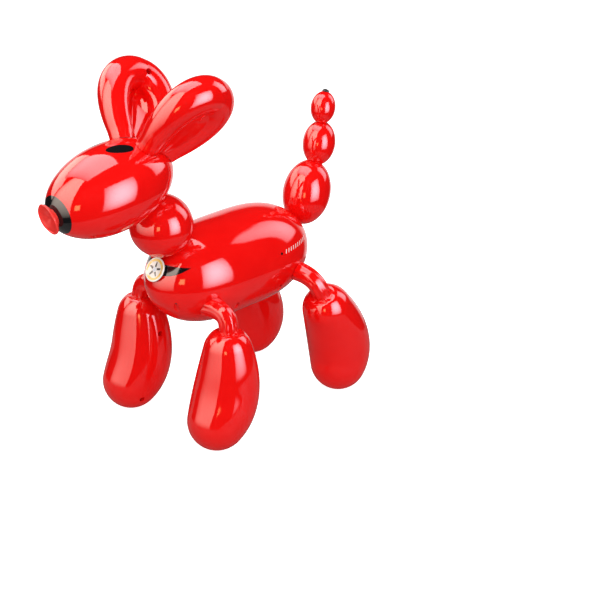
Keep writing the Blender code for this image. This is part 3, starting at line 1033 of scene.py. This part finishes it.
@dataclass
class Nozzle:
    """The flared balloon nozzle at the end of the muzzle."""

    trunk: Trunk
    nod: float = radians(10.5)
    lip: float = 0.0097
    reach: float = 0.0026
    root: float = 0.0054
    wall: float = 0.0013
    mouth_depth: float = 0.0021
    mouth_curve: float = 1.3
    throat: float = 0.0002
    long_way: tuple[float, float] = (0.447, -0.894)
    stretch: tuple[float, float] = (1.12, 0.86)
    steps: int = 14
    rim_steps: int = 8
    segments: int = 96

    def place(self) -> Matrix:
        """Return the placing whose local +Z points out of the mouth."""
        head = self.trunk.head
        pole = head.centre + Vector((0, -cos(head.lean), -sin(head.lean))) * head.half_length
        return Matrix.Translation(pole) @ Matrix.Rotation(pi / 2 + self.nod, 4, "X")

    def profile(self) -> list[tuple[float, float]]:
        """Return the half section from the bottom of the mouth, over the lip, to the root."""
        rim = self.wall / 2
        mouth = self.lip - self.wall
        shares = [i / self.steps for i in range(1, self.steps + 1)]
        turns = [pi * (0.9 - 0.9 * i / self.rim_steps) for i in range(self.rim_steps + 1)]
        return [
            (0.0, self.reach - self.mouth_depth),
            *((self.throat + (mouth - self.throat) * share,
               self.reach - self.mouth_depth * (1 - share) ** self.mouth_curve) for share in shares),
            *((self.lip - rim + rim * cos(turn), self.reach + rim * sin(turn)) for turn in turns),
            *((self.lip - (self.lip - self.root) * sin(share * pi / 2),
               self.reach - rim - share * (self.reach + EMBED / 2)) for share in shares),
            (self.root, -EMBED),
            (0.0, -EMBED),
        ]

    def wave(self, mesh: bpy.types.Mesh) -> None:
        """Squash the nozzle's lip and give it soft radial waves.

        Args:
            mesh: the nozzle, before it is placed.
        """
        a, b = self.long_way
        for vertex in mesh.vertices:
            x, y, z = vertex.co
            around = atan2(y, x)
            share = smooth_step((hypot(x, y) - self.root) / (self.lip - self.root))
            wave = 1 + share * (0.020 * sin(3 * around + 0.6) + 0.010 * sin(7 * around))
            along = (x * a + y * b) * wave * (1 + (self.stretch[0] - 1) * share)
            beside = (y * a - x * b) * wave * (1 + (self.stretch[1] - 1) * share)
            vertex.co = (along * a - beside * b, along * b + beside * a, z + share * 0.0005 * sin(2 * around + 1.0))

    def build(self) -> None:
        """Build the nozzle."""
        mesh = turned_mesh(self.profile(), self.segments, Matrix.Identity(4))
        self.wave(mesh)
        mesh.transform(self.place())
        show("nose_nozzle_soft", self.trunk.head_cut(mesh), SoftNozzle().build(), ["nose_nozzle"])


@dataclass
class Ears:
    """The pair of moulded balloon loops, each with a groove down its face.

    The floors are the heights of the groove's floor at its edge and in its middle, on each face, as
    shares of the limb's radius, and the blends are how softly the limb runs into it.
    """

    trunk: Trunk
    base: Vector = field(default_factory=lambda: Vector((0.0137, -0.0475, 0.2232)))
    rise: float = radians(44.0)
    spread: float = radians(43.4)
    turn: float = radians(15.2)
    limb: tuple[tuple[float, float], ...] = ((0.0130, 0.0), (0.0282, 0.0322), (0.0122, 0.0472), (0.0, 0.0472))
    radii: tuple[float, float, float] = (0.0085, 0.0137, 0.0119)
    buried: tuple[float, float, float] = (0.0094, -0.0105, 0.0078)
    valley_top: float = 0.0300
    outer_floor: tuple[float, float] = (0.72, 0.66)
    inner_floor: tuple[float, float] = (0.30, -0.42)
    outer_blend: float = 0.36
    inner_blend: float = 0.16
    widest_wall: float = 0.92
    floor_start: float = 0.8
    well: Point = (0.0009, 0.0450, -0.0108)
    well_radius: float = 0.0022
    steps: int = 72
    buried_steps: int = 6
    wall_steps: int = 18
    floor_steps: int = 8
    edge_steps: int = 14

    def frame(self) -> Matrix:
        """Return the left ear's placing: local X across, Y up along it, Z out of its outer face."""
        up = Vector((sin(self.spread) * cos(self.rise), cos(self.spread) * cos(self.rise), sin(self.rise)))
        level = up.cross(Vector((1, 0, 0))).normalized()
        across = cos(self.turn) * level + sin(self.turn) * up.cross(level)
        out = across.cross(up)
        return Matrix.Translation(self.base) @ Matrix((across, up, out)).transposed().to_4x4()

    def centre_line(self, share: float) -> tuple[Vector, float]:
        """Return the limb's middle and radius at a share of the way.

        Args:
            share: from the buried end at -1, past the root at 0, to the crown at 1.

        Returns:
            The middle and the radius.
        """
        root, middle, crown = self.radii
        if share < 0:
            x, y, radius = self.buried
            ahead = 1 + share
            return Vector((x, y)).lerp(Vector(self.limb[0]), ahead), radius + (root - radius) * ahead
        rest = 1 - share
        return bezier(self.limb, share), rest * rest * root + 2 * rest * share * middle + share * share * crown

    def section(self, share: float) -> list[Vector]:
        """Return one section of the left half.

        It runs from the groove on the outer face, over the limb's crest and edge, to the groove on the
        inner face.

        Args:
            share: where the section is, as for the centre line.

        Returns:
            The section's points in the ear's own frame.
        """
        middle, radius = self.centre_line(share)
        ahead = self.centre_line(min(1.0, share + TINY_SHARE))[0] - self.centre_line(share - TINY_SHARE)[0]
        normal = Vector((ahead.y, -ahead.x)).normalized()
        risen = -EMBED + (self.valley_top + EMBED) * sin(share * pi / 2)
        spine = Vector((0.0, risen if share > 0 else min(middle.y, -EMBED)))
        inward = spine - middle
        square = abs(inward.normalized().dot(normal))
        wall = min(self.widest_wall, radius / (inward.length * square))
        parts = [wall * sin(i / self.wall_steps * pi / 2) for i in range(self.wall_steps + 1)]
        parts += [wall + (1 - wall) * i / self.floor_steps for i in range(1, self.floor_steps + 1)]
        points = []
        for side, floors, blend in ((1, self.outer_floor, self.outer_blend), (-1, self.inner_floor, self.inner_blend)):
            face = []
            for part in reversed(parts[1:]):
                flat = middle + inward * part
                away = inward.length * part * square
                tube = sqrt(max(0.0, radius * radius - away * away)) if part <= wall else -radius
                start = wall * self.floor_start
                down = sin(max(0.0, part - start) / (1 - start) * pi / 2)
                floor = (floors[0] + (floors[1] - floors[0]) * down) * radius
                face.append(Vector((flat.x, flat.y, side * smooth_high(tube, floor, blend * radius))))
            crest = smooth_high(radius, floors[0] * radius, blend * radius)
            for i in range(self.edge_steps + 1 if side > 0 else self.edge_steps):
                angle = pi / 2 * (1 - i / self.edge_steps)
                edge = middle + normal * radius * cos(angle)
                face.append(Vector((edge.x, edge.y, side * crest * sin(angle))))
            points += face if side > 0 else face[::-1]
        return points

    def mesh(self) -> bpy.types.Mesh:
        """Return the left ear's closed loop."""
        shares = [-1 + i / self.buried_steps for i in range(self.buried_steps)]
        shares += [i / self.steps for i in range(self.steps + 1)]
        right = [self.section(share) for share in shares]
        rows = right + [[Vector((-p.x, p.y, p.z)) for p in row] for row in reversed(right[:-1])]
        columns = len(rows[0])
        faces = grid_faces(len(rows), columns, closed=False)
        last = (len(rows) - 1) * columns
        faces.append((*range(columns), *reversed(range(last, last + columns))))
        mesh = mesh_of([point for row in rows for point in row], faces)
        mesh.transform(self.frame())
        return mesh

    def build(self) -> list[WellPlan]:
        """Build both ears and return their wells."""
        frame = self.frame()
        well = WellPlan(frame @ Vector(self.well), frame.to_3x3() @ Vector((0, 0, -1)), self.well_radius)
        show_pair("ear", with_wells(self.trunk.head_cut(self.mesh()), [well]), GlossRed().build("red_ear"))
        return [well, well.mirrored()]


@dataclass(frozen=True)
class LegPlan:
    """A bean-shaped pod as three balls of (place, radius), where its stub leaves, its well and its dent."""

    name: str
    top: tuple[Point, float]
    middle: tuple[Point, float]
    foot: tuple[Point, float]
    stub_root: Point
    stub_elbow: Point
    foot_well: Point
    dent: float

    def balls(self) -> tuple[list[Vector], list[float]]:
        """Return the pod's places and radii, foot first."""
        balls = (self.foot, self.middle, self.top)
        return [Vector(place) for place, _ in balls], [radius for _, radius in balls]

    def crown(self) -> tuple[Vector, Vector]:
        """Return the top of the pod and the way up it."""
        places, radii = self.balls()
        rise = (places[2] - places[1]).normalized()
        return places[2] + rise * radii[2], rise


@dataclass
class Legs:
    """The four legs: bean-shaped pods hung on bent, fluted stubs."""

    trunk: Trunk
    stubs: StubMaker
    plans: tuple[LegPlan, ...] = (
        LegPlan("leg_front", ((0.0466, -0.0232, 0.0722), 0.0177), ((0.0465, -0.0256, 0.0413), 0.0238),
                ((0.0468, -0.0357, 0.0211), 0.0215), (0.0200, -0.0215, 0.0992), (0.0440, -0.0210, 0.1025),
                (-0.88, -0.28, -0.36), 0.0011),
        LegPlan("leg_rear", ((0.0495, 0.0783, 0.0726), 0.0188), ((0.0463, 0.0945, 0.0419), 0.0240),
                ((0.0475, 0.0940, 0.0211), 0.0216), (0.0200, 0.0640, 0.1016), (0.0465, 0.0665, 0.1035),
                (-0.88, 0.28, -0.36), 0.0),
    )
    stub_radius: float = 0.0070
    root_flare: float = 1.10
    end_pinch: float = 0.92
    cap: float = 0.27
    dimple_depth: float = 0.0018
    dimple_width: float = 0.0050
    pleats: int = 7
    pleat_depth: float = 0.00016
    upper_well_share: float = 0.85
    dent_way: Vector = field(default_factory=lambda: Vector((0.75, -0.66, 0.0)))
    dent_height: float = 0.046
    dent_width: float = 0.012
    floor_block: float = 0.4
    rings: int = 120
    segments: int = 112

    @staticmethod
    def parabola(nodes: Sequence, share: float) -> "Vector | float":
        """Return a value of the parabola through three.

        Args:
            nodes: the three values, at 0, a half and 1.
            share: where the value is.

        Returns:
            The value.
        """
        start = 2 * (share - 0.5) * (share - 1)
        middle = -4 * share * (share - 1)
        return nodes[0] * start + nodes[1] * middle + nodes[2] * (2 * share * (share - 0.5))

    def ring(self, places: list[Vector], radii: list[float], turn: float) -> tuple[Vector, float, Vector]:
        """Return one ring of a pod.

        Args:
            places: the middles of its three balls.
            radii: their radii.
            turn: where the ring is, from pole to pole.

        Returns:
            The ring's middle, radius and direction.
        """
        share = min(1.0, max(0.0, (turn - self.cap) / (1 - 2 * self.cap)))
        centre = self.parabola(places, share)
        radius = self.parabola(radii, share)
        high, low = share + TINY_SHARE, share - TINY_SHARE
        ahead = self.parabola(places, high) - self.parabola(places, low)
        angle = acos((self.parabola(radii, high) - self.parabola(radii, low)) / ahead.length)
        if turn < self.cap:
            angle = angle * turn / self.cap
        elif turn > 1 - self.cap:
            angle = pi - (pi - angle) * (1 - turn) / self.cap
        tangent = ahead.normalized()
        return centre - tangent * radius * cos(angle), radius * sin(angle), tangent

    def pod(self, plan: LegPlan) -> bpy.types.Mesh:
        """Build one pod, puckered round the place where its stub enters.

        Args:
            plan: its form.

        Returns:
            Its closed mesh.
        """
        places, radii = plan.balls()
        crown, rise = plan.crown()
        neck = self.stub_radius * self.end_pinch
        points = []
        for i in range(self.rings + 1):
            centre, radius, tangent = self.ring(places, radii, i / self.rings)
            side = (Vector((1, 0, 0)) - tangent * tangent.x).normalized()
            for j in range(self.segments):
                around = 2 * pi * j / self.segments
                arm = side * cos(around) + tangent.cross(side) * sin(around)
                point = centre + arm * radius
                height = (point.z - self.dent_height) / self.dent_width
                hollow = max(0.0, arm.dot(self.dent_way)) ** 2 * exp(-(height**2))
                point = point - arm * plan.dent * hollow
                if i > self.rings / 2:
                    offset = point - crown
                    away = offset - rise * offset.dot(rise)
                    fade = 1 - smooth_step((away.length - neck) / self.dimple_width)
                    pleat = sin(self.pleats * around + 0.8 * sin(3 * around)) * self.pleat_depth
                    point = point - rise * (self.dimple_depth * fade + pleat * 4 * fade * (1 - fade))
                points.append(point)
        return mesh_of(points, grid_faces(self.rings + 1, self.segments))

    def wells(self, plan: LegPlan) -> list[WellPlan]:
        """Place the screw wells on a leg's inner side.

        Args:
            plan: the leg's form.

        Returns:
            The two wells.
        """
        places, radii = plan.balls()
        inward = Vector((-1, 0, 0))
        centre = self.parabola(places, self.upper_well_share)
        radius = self.parabola(radii, self.upper_well_share)
        low = places[0] + Vector(plan.foot_well).normalized() * radii[0]
        return [WellPlan(centre + inward * radius, inward), WellPlan(low, inward)]

    def leg(self, plan: LegPlan) -> bpy.types.Mesh:
        """Build one left leg, trimmed to the body and the floor.

        Args:
            plan: its form.

        Returns:
            Its mesh.
        """
        crown, rise = plan.crown()
        corners = [Vector(plan.stub_root), Vector(plan.stub_elbow), crown + rise * self.stub_radius,
                   crown - rise * EMBED]
        stub = self.stubs.mesh(corners, self.stub_radius * self.root_flare, self.stub_radius * self.end_pinch)
        leg = self.trunk.torso_cut(combined(self.pod(plan), stub, Join.ADD))
        block = block_mesh((self.floor_block,) * 3, (0, 0, -self.floor_block / 2))
        return with_wells(combined(leg, block, Join.CUT), self.wells(plan))

    def build(self) -> list[WellPlan]:
        """Build the four legs and return their wells."""
        red = GlossRed().build("red_leg")
        wells = []
        for plan in self.plans:
            show_pair(plan.name, self.leg(plan), red)
            inner = self.wells(plan)
            wells += [*inner, *(well.mirrored() for well in inner)]
        return wells


@dataclass
class Tail:
    """The three shrinking tail bubbles, as (y, z, half length, radius, lean), and the knob on their end."""

    trunk: Trunk
    bubbles: tuple[tuple[float, float, float, float, float], ...] = (
        (0.1089, 0.1452, 0.0252, 0.0184, 71.0), (0.1227, 0.1814, 0.0171, 0.0126, 77.5),
        (0.1270, 0.2084, 0.0125, 0.0095, 77.0))
    knob_radius: float = 0.0027
    knob_height: float = 0.0016
    knob_steps: int = 12

    def build(self) -> None:
        """Build the tail and its knob."""
        maker = self.trunk.bubbles
        forms = [BubbleForm(Vector((0, y, z)), half, radius, radians(lean))
                 for y, z, half, radius, lean in self.bubbles]
        tail = maker.mesh(forms[0], MEDIUM)
        for form in forms[1:]:
            tail = combined(tail, maker.mesh(form, COARSE), Join.ADD)
        tail = self.trunk.torso_cut(tail)
        show("tail_shell", tail, GlossRed().build("red_tail"), ["tail"], sharp=28.0)
        tip = forms[-1]
        along = Vector((0, cos(tip.lean), sin(tip.lean)))
        turns = [i / self.knob_steps * pi / 2 for i in range(self.knob_steps + 1)]
        profile = [(self.knob_radius * sin(turn), self.knob_height * cos(turn)) for turn in turns]
        profile += [(self.knob_radius, -self.knob_height), (0.0, -self.knob_height)]
        knob = turned_mesh(profile, 48, lean_matrix(tip.centre + along * tip.half_length, tip.lean))
        knob = maker.cut(knob, tip, COARSE)
        show("tail_knob", knob, BlackPlastic("black_knob", 0.22).build(), ["tail_tip_button"])


@dataclass
class Medallion:
    """The thin round disc on the chest, on its short boss."""

    trunk: Trunk
    radius: float = 0.0088
    thickness: float = 0.0014
    boss: float = 0.0062
    height: float = 0.0138
    tilt: float = radians(31.0)
    lift: float = 0.0007
    edge: float = 0.0003
    edge_steps: int = 4
    face_depth: float = 0.00012
    face_share: float = 0.88
    lip_share: float = 0.905

    def place(self) -> Matrix:
        """Return the placing whose local +Z points out of the chest."""
        torso = self.trunk.torso
        share = (1 - (self.height / torso.radius) ** torso.roundness) ** (1 / torso.fullness)
        front = torso.centre + Vector((0, -share * torso.half_length, self.height))
        out = Vector((0, -cos(self.tilt), sin(self.tilt)))
        return Matrix.Translation(front + out * self.lift) @ Matrix.Rotation(pi / 2 - self.tilt, 4, "X")

    def build(self) -> None:
        """Build the disc with a fine rounded rim and a shallow lip round its face."""
        top, side = self.thickness - self.edge, self.radius - self.edge
        face = self.thickness - self.face_depth
        turns = [i / self.edge_steps * pi / 2 for i in range(self.edge_steps + 1)]
        profile = [
            (0.0, face),
            (self.radius * self.face_share, face),
            (self.radius * self.lip_share, self.thickness),
            *((side + self.edge * sin(turn), top + self.edge * cos(turn)) for turn in turns),
            (self.radius, self.edge),
            (side, 0.0),
            (self.boss, 0.0),
            (self.boss, -EMBED),
            (0.0, -EMBED),
        ]
        mesh = self.trunk.torso_cut(turned_mesh(profile, 96, self.place()))
        show("collar_disc", mesh, PrintedDisc(self.place(), self.radius).build(), ["collar_medallion"])


@dataclass(frozen=True)
class SoftBox:
    """A lit card: its middle, the point it faces, its size, colour and strength.

    The fade is how softly its edge ends, and the rim how bright its two sides, foot
    and top are beside the middle.
    """

    name: str
    middle: Point
    faces: Point
    size: tuple[float, float]
    colour: Point
    strength: float
    fade: float
    rim: tuple[float, float, float, float]

    def build(self) -> None:
        """Build the card, brightest in its middle and seen only in the gloss and as light."""
        turn = (Vector(self.middle) - Vector(self.faces)).to_track_quat("Z", "Y").to_matrix()
        wide, high = (side / 2 for side in self.size)
        corners = [Vector(self.middle) + turn @ Vector((x * wide, y * high, 0))
                   for x, y in ((-1, -1), (1, -1), (1, 1), (-1, 1))]
        mesh = bpy.data.meshes.new(self.name)
        mesh.from_pydata([tuple(corner) for corner in corners], [], [(0, 1, 2, 3)])
        card = placed(self.name, mesh)
        tree = ShaderTree(self.name)
        offset = tree.vector_maths("SUBTRACT", tree.place, self.middle)
        u, v = (tree.dot(offset, turn.col[i]) / half for i, half in ((0, wide), (1, high)))
        shape = abs(u).below(1 - self.fade / 2, self.fade) * abs(v).below(1 - self.fade / 2, self.fade)
        for share, low_rim, high_rim in ((u, *self.rim[:2]), (v, *self.rim[2:])):
            low, high = share.maths("MINIMUM", 0.0), share.maths("MAXIMUM", 0.0)
            shape = shape * (1 - low * low * (1 - low_rim) - high * high * (1 - high_rim))
        tree.set(Base_Color=BLACK, Roughness=1.0, Specular_IOR_Level=0.0,
                 Emission_Color=tree.mixed(shape, BLACK, (*self.colour, 1.0)), Emission_Strength=self.strength)
        mesh.materials.append(tree.material)
        card.visible_camera = card.visible_diffuse = card.visible_shadow = False


@dataclass(frozen=True)
class SoftFill:
    """A wide lamp that lights the dog and leaves no shape in its gloss."""

    name: str
    middle: Point
    size: float
    power: float
    aim: Point = (0.0, 0.0, 0.12)

    def build(self) -> None:
        """Build the lamp, aimed at the dog."""
        light = bpy.data.lights.new(self.name, "AREA")
        light.shape = "SQUARE"
        light.size = self.size
        light.energy = self.power
        lamp = placed(self.name, light)
        lamp.location = self.middle
        lamp.rotation_euler = (Vector(self.aim) - Vector(self.middle)).to_track_quat("-Z", "Y").to_euler()
        lamp.visible_camera = lamp.visible_glossy = False


@dataclass
class Studio:
    """The white floor, the dark table in the gloss, the soft boxes, the surroundings and the camera.

    The glows are the surroundings' strengths as light and in the gloss.
    """

    camera_place: Point = (0.68368, -0.63112, 0.50414)
    camera_aim: Point = (-0.6229705, 0.66746088, -0.40792612)
    lens: float = 83.14
    sensor: float = 36.0
    clip: tuple[float, float] = (0.01, 50.0)
    table_radius: float = 0.30
    table_height: float = -0.0004
    # painted light and shade: the table's faint even glow and dark grey colour stand in for the white table lying in
    # the dog's shade
    table_glow: float = 0.035
    floor_radius: float = 6.0
    floor_height: float = -0.0002
    floor_glow: float = 0.9
    light_glow: float = 0.72
    gloss_glow: float = 0.022
    boxes: tuple[SoftBox, ...] = (
        SoftBox("box_left", (0.50, 0.036, 0.26), (0, 0.036, 0.26), (0.40, 0.57),
                (0.90, 0.80, 0.92), 13.5, 0.10, (0.22, 0.30, 0.08, 0.30)),
        SoftBox("box_front", (-0.165, -0.60, 0.82), (-0.165, 0, 0.82), (0.83, 1.76),
                (1.0, 0.83, 0.72), 7.4, 0.02, (0.35, 1.0, 0.06, 1.0)),
        SoftBox("box_right", (-0.86, -0.25, 0.78), (0, -0.25, 0.78), (1.00, 0.76),
                (1.0, 0.84, 0.74), 5.2, 0.03, (0.7, 1.0, 0.6, 1.0)),
        SoftBox("box_top", (-0.27, -0.085, 0.87), (-0.27, -0.085, 0.2), (0.95, 0.475),
                (1.0, 0.84, 0.88), 6.0, 0.04, (1.0, 0.4, 1.0, 0.4)),
        SoftBox("box_rear", (0.25, 0.66, 0.52), (0, 0.08, 0.25), (0.40, 0.62),
                (1.0, 0.84, 0.92), 5.0, 0.15, (0.5, 0.5, 0.5, 0.5)),
        SoftBox("box_warm", (0.455, -0.61, 0.245), (0, 0.0, 0.15), (0.15, 0.20),
                (1.0, 0.62, 0.26), 7.5, 0.2, (0.8, 0.8, 0.8, 0.8)),
        SoftBox("box_behind", (-0.44, 0.47, 0.06), (0, 0, 0.1), (1.30, 0.72),
                (1.0, 0.95, 0.95), 1.0, 0.3, (0.9, 0.9, 0.9, 0.9)),
    )
    fills: tuple[SoftFill, ...] = (
        SoftFill("fill_left", (0.9, -0.5, 0.8), 0.8, 6.5),
        SoftFill("fill_top", (-0.1, -0.2, 1.4), 1.2, 7.5),
    )

    @staticmethod
    def sheet(name: str, radius: float, height: float, material: bpy.types.Material) -> bpy.types.Object:
        """Make a round sheet of floor.

        Args:
            name: its name.
            radius: its radius.
            height: its height.
            material: its finish.

        Returns:
            The sheet.
        """
        turns = [2 * pi * i / 64 for i in range(64)]
        mesh = bpy.data.meshes.new(name)
        mesh.from_pydata([(radius * cos(turn), radius * sin(turn), height) for turn in turns], [], [tuple(range(64))])
        mesh.materials.append(material)
        floor = placed(name, mesh)
        floor.visible_diffuse = False
        return floor

    def build_floor(self) -> None:
        """Build the table that the gloss mirrors, dark with a faint even glow as painted shade, and the wide white
        floor that the camera sees.
        """
        # painted shade: a dark grey table with a faint glow, seen only in the gloss, in place of the white table
        # shaded round the dog
        tree = ShaderTree("pale_table")
        tree.set(Base_Color=(0.10, 0.10, 0.10, 1), Roughness=0.8, Emission_Color=WHITE,
                 Emission_Strength=self.table_glow)
        table = self.sheet("table", self.table_radius, self.table_height, tree.material)
        table.visible_camera = False
        tree = ShaderTree("white_floor")
        tree.set(Base_Color=(0.9, 0.9, 0.9, 1), Roughness=1.0, Specular_IOR_Level=0.0, Emission_Color=WHITE,
                 Emission_Strength=self.floor_glow)
        floor = self.sheet("floor", self.floor_radius, self.floor_height, tree.material)
        floor.visible_glossy = floor.visible_shadow = False

    def build_world(self) -> None:
        """Build surroundings that are white to the camera, dim in the gloss and soft as light."""
        scene = bpy.context.scene
        scene.view_settings.view_transform = "Standard"
        scene.world = world = bpy.data.worlds.new("studio")
        world.use_nodes = True
        world.cycles.sampling_method = "NONE"
        tree = Tree(world.node_tree)
        tree.nodes.nodes.clear()
        path = tree.add("ShaderNodeLightPath")
        seen, spread = (Value(tree, path.outputs[name]) for name in ("Is Camera Ray", "Is Diffuse Ray"))
        strength = seen + spread * self.light_glow + self.gloss_glow
        sky = tree.node("ShaderNodeBackground", {"Color": WHITE, "Strength": strength})
        tree.add("ShaderNodeOutputWorld", {"Surface": sky})

    def build_camera(self) -> None:
        """Set the camera at the photograph's angle."""
        camera = placed("camera", bpy.data.cameras.new("camera"))
        camera.location = self.camera_place
        camera.rotation_euler = Vector(self.camera_aim).to_track_quat("-Z", "Y").to_euler()
        camera.data.sensor_width = self.sensor
        camera.data.lens = self.lens
        camera.data.clip_start, camera.data.clip_end = self.clip
        bpy.context.scene.camera = camera

    def build(self) -> None:
        """Build the whole studio."""
        self.build_floor()
        self.build_world()
        for light in (*self.boxes, *self.fills):
            light.build()
        self.build_camera()


def main() -> None:
    """Load the frame and build the dog and its studio, piece by piece."""
    logging.basicConfig(level=logging.INFO, format="%(message)s")
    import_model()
    trunk = Trunk(BubbleMaker())
    wells = trunk.build()
    Nozzle(trunk).build()
    wells += Ears(trunk).build()
    wells += Legs(trunk, StubMaker()).build()
    Tail(trunk).build()
    Medallion(trunk).build()
    screws = ScrewMaker().mesh([well.screw() for well in wells])
    show("well_screws", screws, BlackPlastic("black_steel", 0.75).build(), [])
    Studio().build()


if __name__ == "__main__":
    main()
